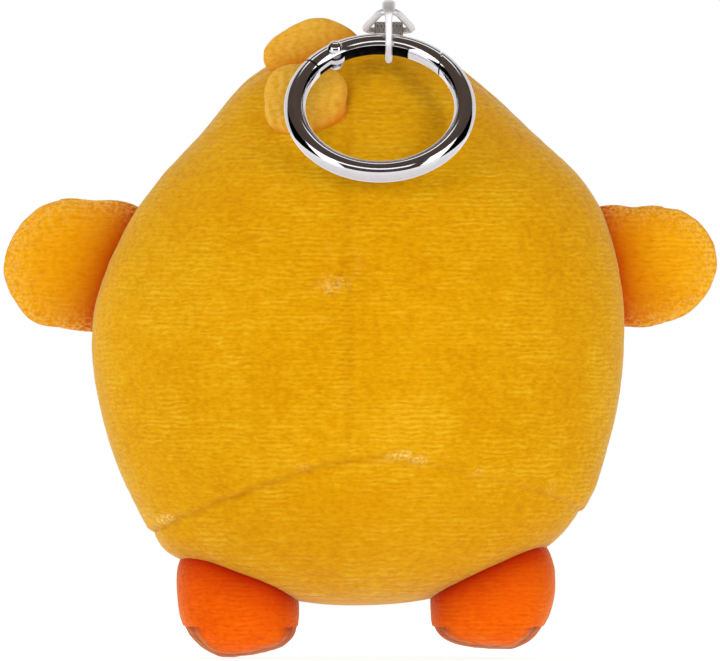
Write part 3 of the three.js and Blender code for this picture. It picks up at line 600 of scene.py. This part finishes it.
def make_body():
    """The egg of the body: two back panels, two front panels and the gusset under them."""
    mesh = stuffed_skin()
    co = coords(mesh)
    upright, base = body_seams(co)
    back = co[:, 1] < 0
    covered = 0.5 + 0.5 * layered(co * 90, 2, COVER)
    wander = layered(co * 260, 2, WANDER) * 0.35 * MM
    lift = pile(co, 3)
    lift -= SIDE_DEPTH * bell(upright + wander, SIDE_WIDTH) * (0.45 + 0.55 * covered)
    lift -= BASE_DEPTH * bell(base + wander, BASE_WIDTH) * (0.3 + 0.7 * covered)
    # the back stands a step out over the gusset
    lift += 0.5 * MM * np.tanh(base / (1.1 * MM)) * np.exp(-np.abs(base) / (5 * MM))
    drawn = co[:, 0] - (GATHER_X - TURN_SLOPE * np.maximum(TURN_Z - co[:, 2], 0))
    phase = (co[:, 2] + 0.4 * drawn) * 2 * math.pi / GATHER_STEP
    gather = np.sin(phase + layered(co * 200, 2, GATHER) * 2)
    tight = bell(co[:, 2] - GATHER_Z, GATHER_TALL) * back
    pinch = tight * bell(drawn, 0.9 * MM)
    lift += gather * tight * bell(drawn - 1.5 * MM, 4 * MM) * 0.32 * MM - pinch * 0.55 * MM
    lift += layered(co * 300, 2, WRINKLE) * bell(base, 4.5 * MM) * 0.16 * MM
    set_coords(mesh, co + vertex_normals(mesh) * lift[:, None])
    # painted shade in the side, middle and gusset seams and in the hollows of the gathers
    crease = 0.14 * bell(upright + wander, SIDE_WIDTH) + 0.7 * bell(base + wander, 0.55 * MM) * covered
    mark(mesh, "crease", crease + 0.5 * pinch * smoothstep(-gather, -0.4, 0.6))
    # painted highlight where the fuzz at the gusset seam and at the gathers catches the light
    seam_fuzz_highlight = smoothstep(layered(co * 190, 2, SEAM_FUZZ), 0.15, 0.6) * bell(base - 1.3 * MM, 1.2 * MM)
    gather_fuzz_highlight = smoothstep(layered(co * 300, 2, FUZZ), 0.1, 0.7) * tight * bell(drawn, 2.6 * MM)
    mark(mesh, "pale", np.minimum(seam_fuzz_highlight + 0.6 * gather_fuzz_highlight, 1) * back)
    # painted shade on the gusset, darker away from its seam towards the bottom
    mark(mesh, "root", 0.16 * smoothstep(-base, -2 * MM, 7 * MM))
    obj = dress(new_object("body_plush", mesh), YELLOW)
    unmirrored(obj)
    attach(obj, "plush_body")
    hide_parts("stuffing_core", *BODY_PANELS)


def outline(points):
    """A smooth closed outline: how far out it is in any direction, from points round it."""
    points = np.array(points, dtype=float)
    angle = np.arctan2(points[:, 1], points[:, 0])
    order = np.argsort(angle)
    angle = angle[order]
    reach = np.hypot(points[:, 0], points[:, 1])[order]
    fine = np.linspace(-math.pi, math.pi, 721)
    wrapped_angle = np.concatenate([angle - 2 * math.pi, angle, angle + 2 * math.pi])
    value = np.interp(fine, wrapped_angle, np.tile(reach, 3))
    kernel = np.hanning(49)
    kernel /= kernel.sum()
    ring = np.concatenate([value[-73:-1], value, value[1:73]])
    value = np.convolve(ring, kernel, "same")[72:-72]
    return lambda direction: np.interp(direction, fine, value)


def pad(name, centre, across, up, through, edge, half_thick, cuts=14, boxy=2.0, flat=0.6):
    """A stuffed pad: edge gives its outline in the plane of across and up, and half_thick is
    how far it swells along through. A larger boxy squares its section, and a smaller flat puts
    more of its quads on the two faces."""
    ways, faces = cube_ball(cuts)
    ways = ways * np.array([1, flat, 1])
    ways /= np.linalg.norm(ways, axis=1)[:, None]
    swell = np.abs(ways[:, 1])
    reach = (1 - swell**boxy) ** (1 / boxy)
    turn = np.arctan2(ways[:, 2], ways[:, 0])
    radius = edge(turn) * MM * reach
    local = np.stack([radius * np.cos(turn), ways[:, 1] * half_thick, radius * np.sin(turn)], axis=1)
    axes = np.array([across, through, up], dtype=float)
    mesh = bpy.data.meshes.new(name)
    mesh.from_pydata([Vector(p) for p in np.array(centre) + local @ axes], [], faces)
    mesh.update()
    return mesh


# outlines in millimetres from the hinge, outwards and up
WING_OUTLINES = {
    "left": [(-11, 9.6), (0, 11.9), (4.6, 12.5), (9.5, 11.4), (12.9, 8.6), (15.8, 4.4), (17.0, 0.4),
             (16.4, -3.8), (14.3, -8.0), (11.2, -11.2), (5.5, -11.8), (0.5, -12.6), (-6, -12), (-12, 0)],
    "right": [(-10, 9.6), (0, 10.6), (4.6, 11.1), (9.2, 10.4), (12.8, 8.2), (15.4, 4.4), (16.3, 0.6),
              (15.4, -3.4), (13.3, -7.0), (9.6, -10.0), (5, -11.2), (-1.5, -11.6), (-7, -11.0), (-12, 0)],
}
WING_SWELL = 0.86  # the pad's thickness as a share of the CAD wing's


def make_wings():
    """Two stuffed wings, each with its own outline, sewn to the body at the hinge."""
    for side, seed in (("left", 21), ("right", 23)):
        nodes = [f"wing_{side}_back_panel", f"wing_{side}_front_panel", f"wing_{side}_fill"]
        low, high = nodes_box(nodes)
        hinge = np.array(JOINTS[f"wing_{side}_flap"]["pos_m"])
        out = np.array([math.copysign(1, hinge[0]), 0, 0])
        half = (high.y - low.y) / 2
        mesh = pad(f"wing_{side}_plush", hinge, out, (0, 0, 1), (0, 1, 0), outline(WING_OUTLINES[side]),
                   half * WING_SWELL, boxy=1.8)
        if side == "left":
            mesh.flip_normals()

        def seam(co, hinge=hinge):
            beside_body = np.abs(co[:, 0]) < abs(hinge[0]) + 6 * MM
            return np.abs(co[:, 1] - hinge[1]) + 2 * MM * beside_body

        def hold(co, hinge=hinge):
            return bell(co[:, 1] - hinge[1], 0.8 * MM)

        # where the wing's edge gets a pale painted highlight
        def rim(co, hinge=hinge):
            return 0.7 * bell(co[:, 1] - hinge[1], 2.4 * MM)

        soft_piece(
            mesh, f"wing_{side}", WING, nodes, puff=(hold, 3.0, 0.8 * MM), seed=seed,
            sewn=(seam, 0.25 * MM, 0.5 * MM), rim=rim, bend=(hinge - out * 2.5 * MM, hinge + out * 3.5 * MM),
        )


# outlines in millimetres from the middle of the foot, away from the body's middle and up
FOOT_OUTLINES = {
    "left": [(10.6, 11), (11.3, 5.5), (11.2, 1.6), (10.4, -2.4), (8.4, -5.6), (5.4, -8.1), (2.4, -9.0),
             (-1.2, -8.7), (-5.2, -7.9), (-9.3, -6.7), (-11.2, -4.9), (-11.3, -2.1), (-11.3, 3), (-9, 9),
             (0, 13)],
    "right": [(9.6, 13), (11.2, 8.0), (11.4, 4.0), (10.6, 0.1), (8.8, -3.8), (6.5, -6.0), (3.6, -7.5),
              (0.7, -7.3), (-3.3, -7.0), (-7.1, -6.4), (-10.2, -5.4), (-11.8, -3.5), (-11.7, -0.3),
              (-12.2, 3), (-9, 8), (0, 13)],
}
FOOT_MIDDLE = 9 * MM  # above the sole
SOLE_SEAM = 0.35 * MM  # how far the sole's seam is above the lower edge


def make_feet():
    """Two stuffed feet, each with its own outline and a seam round the sole."""
    for side, seed in (("left", 41), ("right", 43)):
        nodes = [f"foot_{side}_upper", f"foot_{side}_sole", f"foot_{side}_fill"]
        low, high = nodes_box(nodes)
        middle = (low + high) / 2
        joint = np.array(JOINTS[f"foot_{side}_flex"]["pos_m"])
        centre = np.array([middle.x, middle.y, low.z + FOOT_MIDDLE])
        out = np.array([math.copysign(1, joint[0]), 0, 0])
        edge = outline(FOOT_OUTLINES[side])
        mesh = pad(f"foot_{side}_plush", centre, out, (0, 0, 1), (0, 1, 0), edge,
                   (high.y - low.y) / 2, boxy=2.7, flat=1.0, cuts=16)
        if side == "left":
            mesh.flip_normals()

        def seam(co, centre=centre, out=out, edge=edge):
            across = (co - centre) @ out
            drop = co[:, 2] - centre[2]
            turn = np.arctan2(drop, across)
            above_edge = np.abs(drop + edge(turn) * MM * np.abs(np.sin(turn)) - SOLE_SEAM)
            return np.where(drop < -3 * MM, above_edge, 9 * MM)

        def hold(co, low=low):
            return bell(co[:, 2] - low.z, 1.5 * MM)

        up = np.array([0, 0, MM])
        soft_piece(
            mesh, f"foot_{side}", ORANGE, nodes, puff=(hold, 2.5, 0.5 * MM),
            seed=seed, sewn=(seam, 0.5 * MM, 0.45 * MM), bend=(joint + up * 2.5, joint - up * 3.5),
        )


# outlines in millimetres from each lobe's middle
UPPER_LOBE = [(9.4, 0.5), (8.0, 2.6), (4.6, 4.6), (0.6, 5.6), (-2.8, 4.7), (-5.5, 3.1), (-8.6, 1.0),
              (-9.8, -1.4), (-9.0, -3.9), (-6, -6.0), (0, -7.5), (6, -6)]
LOWER_LOBE = [(7.9, 0), (8.0, 4.5), (5.5, 7.4), (0, 8.4), (-5.4, 7.4), (-7.1, 4.2), (-7.2, 0), (-6.8, -4.6),
              (-4.2, -6.9), (0, -7.4), (4.8, -7.2), (7.6, -4.6)]
LOBE_THICKNESS = 4 * MM  # taken off the lower lobe's depth, so that the rest of it is its lean


def make_tuft():
    """Two small plush petals: one sticks up at the top left, one lies on the back of the head."""
    low, high = nodes_box(["tuft_upper_lobe"])
    middle = np.array((low + high) / 2)
    mesh = pad("tuft_upper_plush", middle - np.array([0.1, 0, 2.9]) * MM, (1, 0, 0), (0, 0, 1), (0, 1, 0),
               outline(UPPER_LOBE), 2.9 * MM, cuts=10)
    soft_piece(mesh, "tuft", TUFT, ["tuft_upper_lobe"], puff=(free, 2.5, 0.5 * MM),
               seed=61, root=1.5 * MM)
    low, high = nodes_box(["tuft_lower_lobe"])
    middle = np.array((low + high) / 2)
    lie = math.atan2(high.y - low.y - LOBE_THICKNESS, high.z - low.z)
    up = (0, math.sin(lie), math.cos(lie))
    through = (0, math.cos(lie), -math.sin(lie))
    mesh = pad("tuft_lower_plush", middle, (1, 0, 0), up, through, outline(LOWER_LOBE), 2.6 * MM,
               cuts=10, boxy=2.2)
    soft_piece(mesh, "plush_body", TUFT, ["tuft_lower_lobe"], puff=(free, 2.5, 0.4 * MM),
               seed=67, root=0.9 * MM)


def make_bill():
    """The two halves of the bill, drawn round their CAD solids."""
    for name, seed in (("bill_upper", 71), ("bill_lower", 73)):
        mesh = wrapped(f"{name}_plush", [name], 12, (1, 0.8, 0.6), 4)
        soft_piece(mesh, "plush_body", ORANGE, [name], puff=(free, 2.5, 0.5 * MM),
                   seed=seed, root=0)


# ---- Hardware -------------------------------------------------------------------------------

# the ring's own sizes, with angles in degrees from its top towards +X
RING_RADIUS = 16 * MM
WIRE_RADIUS = 2 * MM
RIVET_ANGLE, RIVET_ORBIT = -32.5, 15.6 * MM
SHOULDER_ANGLE = -53
NOSE_ANGLE = 50
NOSE_REACH = 19.8 * MM  # of the gate's rounded nose, from the rivet
FIT = 0.3 * MM
CHANNEL_END, CHANNEL_RADIUS, CHANNEL_HALF = 22, 17.2 * MM, 1.3 * MM
TONGUE_INNER, TONGUE_OUTER, TONGUE_HALF = 14.6 * MM, 16.9 * MM, 0.5 * MM
KNUCKLE_RADIUS, KNUCKLE_HALF = 1.9 * MM, 0.55 * MM
CUT_HALF = 5 * MM  # half the height of a tool that cuts right through the wire
ARC_STEPS, SECTOR_STEPS, PIE_STEPS = 150, 60, 48
ring_centre = np.array(MOUNTS["carry_ring"]["pos_m"])
ring_normal = np.array(MOUNTS["carry_ring"]["axis"])
if ring_normal[1] > 0:
    ring_normal = -ring_normal
ring_up = np.cross(ring_normal, (1, 0, 0))
if ring_up[2] < 0:
    ring_up = -ring_up


def on_ring(angle, radius, height=0.0):
    """A point of the ring: angle in degrees from its top towards +X, height along its normal."""
    a = math.radians(angle)
    flat = np.array([math.sin(a), 0, 0]) + math.cos(a) * ring_up
    return ring_centre + radius * flat + height * ring_normal


def mesh_object(name, vertices, faces):
    """A closed object with its faces turned outwards."""
    mesh = bpy.data.meshes.new(name)
    mesh.from_pydata([Vector(v) for v in vertices], [], faces)
    bm = bmesh.new()
    bm.from_mesh(mesh)
    bmesh.ops.recalc_face_normals(bm, faces=bm.faces)
    bm.to_mesh(mesh)
    bm.free()
    return new_object(name, mesh)


def tube_arc(name, first, last, steps=ARC_STEPS, sides=40, wire=WIRE_RADIUS):
    """Round wire along the ring between two angles, with flat ends."""
    vertices = []
    for k in range(steps + 1):
        angle = first + (last - first) * k / steps
        for j in range(sides):
            turn = 2 * math.pi * j / sides
            vertices.append(on_ring(angle, RING_RADIUS + wire * math.cos(turn), wire * math.sin(turn)))
    faces = []
    for k in range(steps):
        for j in range(sides):
            n = (j + 1) % sides
            faces.append((k * sides + j, k * sides + n, (k + 1) * sides + n, (k + 1) * sides + j))
    faces.append(tuple(range(sides)))
    faces.append(tuple(steps * sides + j for j in range(sides)))
    return mesh_object(name, vertices, faces)


def prism(name, flat_points, half):
    """A polygon in the ring's plane, given as points, made half thick to each side."""
    vertices = [p - ring_normal * half for p in flat_points] + [p + ring_normal * half for p in flat_points]
    n = len(flat_points)
    faces = [tuple(range(n)), tuple(range(n, 2 * n))]
    faces += [(i, (i + 1) % n, n + (i + 1) % n, n + i) for i in range(n)]
    return mesh_object(name, vertices, faces)


def sector(inner, outer, first, last):
    """The points of a band along the ring, between two radii and two angles."""
    angles = [first + (last - first) * k / SECTOR_STEPS for k in range(SECTOR_STEPS + 1)]
    return [on_ring(a, outer) for a in angles] + [on_ring(a, inner) for a in reversed(angles)]


def about_rivet(inner, outer, first, last):
    """A pie or a band centred on the rivet, between two directions in degrees like the ring's."""
    pin = on_ring(RIVET_ANGLE, RIVET_ORBIT)

    def point(direction, radius):
        a = math.radians(direction)
        return pin + radius * (np.array([math.sin(a), 0, 0]) + math.cos(a) * ring_up)

    ways = [first + (last - first) * k / PIE_STEPS for k in range(PIE_STEPS + 1)]
    far = [point(w, outer) for w in ways]
    return far + ([point(w, inner) for w in reversed(ways)] if inner else [pin])


def carve(obj, tool, operation="DIFFERENCE"):
    """Cuts the tool out of a piece, or joins it on, and removes the tool."""
    modifier = obj.modifiers.new("carve", "BOOLEAN")
    modifier.operation = operation
    modifier.object = tool
    modifier.solver = "EXACT"
    apply_modifiers(obj)
    bpy.data.objects.remove(tool)
    return obj


def apply_modifiers(obj):
    """Makes what the modifiers give the object's own mesh."""
    graph = bpy.context.evaluated_depsgraph_get()
    mesh = bpy.data.meshes.new_from_object(obj.evaluated_get(graph))
    obj.modifiers.clear()
    mesh.name = obj.name
    obj.data = mesh


BEVEL_ANGLE = math.radians(38)


def soften(obj, width=0.12 * MM):
    """Rounds the sharp edges a little and shades the rest smooth."""
    modifier = obj.modifiers.new("soften", "BEVEL")
    modifier.width = width
    modifier.segments = 3
    modifier.limit_method = "ANGLE"
    modifier.angle_limit = BEVEL_ANGLE
    modifier.harden_normals = True
    apply_modifiers(obj)
    obj.data.polygons.foreach_set("use_smooth", np.ones(len(obj.data.polygons), dtype=bool))
    return obj


def metal_piece(obj, body, node, material=CHROME):
    """Puts a finished metal or plastic piece in place of its CAD node."""
    dress(obj, material)
    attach(obj, body)
    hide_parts(node)
    return obj


def paint_shade(obj, chosen):
    """Gives the chosen faces a near-black steel, painted shade in the ring's cut gaps and the
    gate's channel. A face is judged by its place round the ring, how far it faces along the
    wire, its height off the ring's plane and its distance out."""
    obj.data.materials.append(SHADE_STEEL)
    for polygon in obj.data.polygons:
        place = np.array(polygon.center) - ring_centre
        height = place @ ring_normal
        reach = np.linalg.norm(place - height * ring_normal)
        turn = math.atan2(place[0], place @ ring_up)
        along = np.array([math.cos(turn), 0, 0]) - math.sin(turn) * ring_up
        if chosen(math.degrees(turn), abs(np.array(polygon.normal) @ along), abs(height), reach):
            polygon.material_index = 1


FACES_ALONG = 0.4  # a face that looks this much along the wire is a cut end
END_SPAN = 14  # degrees to each side of a joint of the ring in which its cut ends are


def ring_end(turn, along, height, reach):
    """The ring's cut ends, at its shoulder and in its nose, but not its knuckle."""
    near_end = min(abs(turn - SHOULDER_ANGLE), abs(turn - NOSE_ANGLE)) < END_SPAN
    return along > FACES_ALONG and near_end and abs(turn - RIVET_ANGLE) > 8


def gate_end_or_channel(turn, along, height, reach):
    """The gate's cut ends and the walls of its channel."""
    inside = height < CHANNEL_HALF + 0.01 * MM and reach < CHANNEL_RADIUS + 0.05 * MM
    return along > FACES_ALONG or (inside and turn < CHANNEL_END + 0.5)


def make_ring():
    """The ring's fixed part, with a tongue and a knuckle in the gate's channel. Its wire starts
    inside the gate's nose and is cut back round the rivet, so that the gate can swing out."""
    ring = tube_arc("ring_body_polished", 34, 360 + SHOULDER_ANGLE)
    carve(ring, prism("nose_cut", about_rivet(0, NOSE_REACH + FIT, 60, 150), CUT_HALF))
    stub = tube_arc("stub", 30, 70, steps=40, sides=32, wire=WIRE_RADIUS - 0.35 * MM)
    carve(stub, prism("stub_cut", about_rivet(0, NOSE_REACH + 0.08 * MM, 50, 160), CUT_HALF))
    carve(ring, stub, "UNION")
    tongue = sector(TONGUE_INNER, TONGUE_OUTER, SHOULDER_ANGLE - 4, RIVET_ANGLE + 4)
    carve(ring, prism("tongue", tongue, TONGUE_HALF), "UNION")
    # a pie of all but its last step, without its point, is a whole disc
    knuckle = about_rivet(0, KNUCKLE_RADIUS, 0, 352.5)[:-1]
    carve(ring, prism("knuckle", knuckle, KNUCKLE_HALF), "UNION")
    soften(ring)
    metal_piece(ring, "snap_ring", "ring_body")
    paint_shade(ring, ring_end)


def make_gate():
    """The gate: from the shoulder over the top to its rounded nose, with a channel inside."""
    gate = tube_arc("gate_arm_polished", SHOULDER_ANGLE + 1.5, 66)
    carve(gate, prism("nose_trim", about_rivet(NOSE_REACH, 2 * NOSE_REACH, 40, 170), CUT_HALF))
    channel = sector(12 * MM, CHANNEL_RADIUS, SHOULDER_ANGLE - 4, CHANNEL_END)
    carve(gate, prism("channel", channel, CHANNEL_HALF))
    soften(gate, 0.1 * MM)
    metal_piece(gate, "gate", "gate_arm")
    paint_shade(gate, gate_end_or_channel)


WELD = 0.004 * MM
SHARP_ANGLE = math.radians(40)


def polished(node, body, material):
    """A CAD piece with its facets shaded away and its sharp edges left sharp."""
    mesh = NODES[node].data.copy()
    bm = bmesh.new()
    bm.from_mesh(mesh)
    bmesh.ops.remove_doubles(bm, verts=bm.verts, dist=WELD)
    bmesh.ops.recalc_face_normals(bm, faces=bm.faces)
    for edge in bm.edges:
        edge.smooth = len(edge.link_faces) == 2 and edge.calc_face_angle() < SHARP_ANGLE
    bm.to_mesh(mesh)
    bm.free()
    obj = new_object(f"{node}_polished", mesh)
    return metal_piece(obj, body, node, material)


def broaden(obj, start, end, share):
    """Spreads a piece sideways in x, from nothing at one height to a share more at another."""
    co = coords(obj.data)
    middle = (co[:, 0].min() + co[:, 0].max()) / 2
    grown = 1 + share * smoothstep(co[:, 2], start, end)
    co[:, 0] = middle + (co[:, 0] - middle) * grown
    set_coords(obj.data, co)


make_body()
make_wings()
make_feet()
make_tuft()
make_bill()
make_ring()
make_gate()
for node, body, material, slot in (
    ("gate_rivet", "gate", CHROME, "chrome"), ("connector_link", "link", SATIN, "chrome"),
    ("loop_ring", "loop", SATIN, "chrome"), ("gate_spring", "gate", SPRING, "spring_steel"),
    ("eye_left", "plush_body", BEAD, "eye_black"), ("eye_right", "plush_body", BEAD, "eye_black"),
    ("eye_washer_left", "plush_body", WASHER, "washer_plastic"),
    ("eye_washer_right", "plush_body", WASHER, "washer_plastic"),
):
    polished(node, body, material)
dress(NODES["crown_tab"], TAPE)
# the link's upper end is wide in the photo
link_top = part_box("connector_link")[1].z
broaden(bpy.data.objects["connector_link_polished"], link_top - 3.6 * MM, link_top - 1.4 * MM, 0.9)


# ---- Stage, light and camera ----------------------------------------------------------------

TOY_MIDDLE = (0, 0, 0.06)
FLOOR_RADIUS = 0.8
VIEW_WIDTH = 135.85 * MM
CAMERA_DISTANCE = 6.0
CAMERA_X, CAMERA_Z = -0.43 * MM, 61.8 * MM
SENSOR = 36  # millimetres, as Blender has it


def glowing(name, strength, tint):
    """Paper that shines evenly of itself, a little mottled."""
    n = Nodes(name)
    darker = tuple(0.85 * c for c in tint)
    mottle = n.ramp(n.noise(n.place((1, 1, 1)), 3, 2.0), [(0.3, darker), (0.7, tint)])
    return n.finish(Base_Color=(0, 0, 0), Emission_Color=mottle, Emission_Strength=strength)


def make_floor():
    """A flat pale disc, a little whiter away from the toy."""
    bm = bmesh.new()
    bmesh.ops.create_circle(bm, cap_ends=True, segments=96, radius=FLOOR_RADIUS)
    mesh = bpy.data.meshes.new("floor")
    bm.to_mesh(mesh)
    bm.free()
    obj = new_object("floor", mesh, smooth=False)
    n = Nodes("paper")
    place = n.place((1, 1, 1))
    grain = n.noise(place, 900, 2.0)
    colour = n.ramp(grain, [(0.3, (0.24, 0.24, 0.24)), (0.7, (0.27, 0.27, 0.27))])
    away = n.add("ShaderNodeVectorMath", {0: place}, operation="LENGTH").outputs["Value"]
    glow = n.ramp(n.math("DIVIDE", away, FLOOR_RADIUS), [(0.1, (0.8, 0.8, 0.8)), (0.6, (1, 1, 1))])
    n.finish(Base_Color=colour, Roughness=0.9, Emission_Color=glow, Emission_Strength=1.0)
    dress(obj, n.material)


def aimed(obj, place, axis):
    """Puts a lamp or card in its place, with one of its axes towards the toy."""
    obj.location = place
    obj.rotation_euler = (Vector(TOY_MIDDLE) - Vector(place)).to_track_quat(axis, "Y").to_euler()


def card(name, place, size, strength, tint=WHITE):
    """A card that shines evenly and that only polished metal sees."""
    half = np.array(size) / 2
    mesh = bpy.data.meshes.new(name)
    corners = [(-half[0], -half[1], 0), (half[0], -half[1], 0), (half[0], half[1], 0), (-half[0], half[1], 0)]
    mesh.from_pydata(corners, [], [(0, 1, 2, 3)])
    obj = new_object(name, mesh, smooth=False)
    aimed(obj, place, "Z")
    obj.visible_camera = False
    obj.visible_diffuse = False
    obj.visible_shadow = False
    obj.visible_transmission = False
    dress(obj, glowing(f"{name}_paper", strength, tint))


def lamp(name, place, size, power, glossy=False, tint=WHITE):
    """A soft lamp. Metal mirrors it only when it is glossy."""
    data = bpy.data.lights.new(name, "AREA")
    data.shape = "RECTANGLE"
    data.size, data.size_y = size
    data.energy = power
    data.color = tint
    obj = bpy.data.objects.new(name, data)
    aimed(obj, place, "-Z")
    obj.visible_glossy = glossy
    bpy.context.scene.collection.objects.link(obj)


def make_surround():
    """A white surround that lights nothing and isn't reflected."""
    world = bpy.data.worlds.new("studio")
    world.use_nodes = True
    world.node_tree.nodes["Background"].inputs["Color"].default_value = (1, 1, 1, 1)
    world.cycles_visibility.diffuse = False
    world.cycles_visibility.glossy = False
    world.cycles_visibility.transmission = False
    world.cycles_visibility.scatter = False
    bpy.context.scene.world = world


def make_camera():
    """Level, straight at the back, from far enough off that the view is nearly flat."""
    camera = bpy.data.cameras.new("camera")
    camera.sensor_width = SENSOR
    camera.lens = SENSOR * CAMERA_DISTANCE / VIEW_WIDTH
    obj = bpy.data.objects.new("camera", camera)
    obj.location = (CAMERA_X, -CAMERA_DISTANCE, CAMERA_Z)
    obj.rotation_euler = (math.pi / 2, 0, 0)
    bpy.context.scene.collection.objects.link(obj)
    bpy.context.scene.camera = obj


make_floor()
lamp("key", (-0.55, -0.9, 0.75), (1.1, 1.1), 4.6)
lamp("left_rim", (-0.95, 0.22, 0.45), (0.5, 0.5), 2.6)
lamp("fill", (0.75, -0.9, 0.35), (0.7, 0.8), 3.7)
lamp("left_strip", (-0.46, -0.48, 0.24), (0.32, 0.5), 1.1, glossy=True)
lamp("right_strip", (0.46, -0.44, 0.28), (0.28, 0.5), 1.1, glossy=True)
lamp("sky", (0.0, 0.0, 1.2), (1.6, 1.6), 5.0, tint=(1.0, 0.84, 0.66))
lamp("back", (0.3, 1.1, 0.7), (1.2, 0.8), 6.0)
card("behind_card", (0, 1.2, 0.2), (5.0, 3.0), 1.0)
card("ceiling_card", (0, 0.1, 0.9), (0.5, 0.14), 1.6)
card("brow_card", (-0.07, -0.86, 0.58), (0.85, 0.2), 1.8)
card("room_front", (0, -3.0, 0.5), (8.0, 5.0), 0.07, (1.0, 0.76, 0.64))
card("room_ceiling", (0, 0, 2.6), (8.0, 8.0), 0.1, (1.0, 0.72, 0.56))
make_surround()
bpy.context.scene.view_settings.view_transform = "Standard"
make_camera()
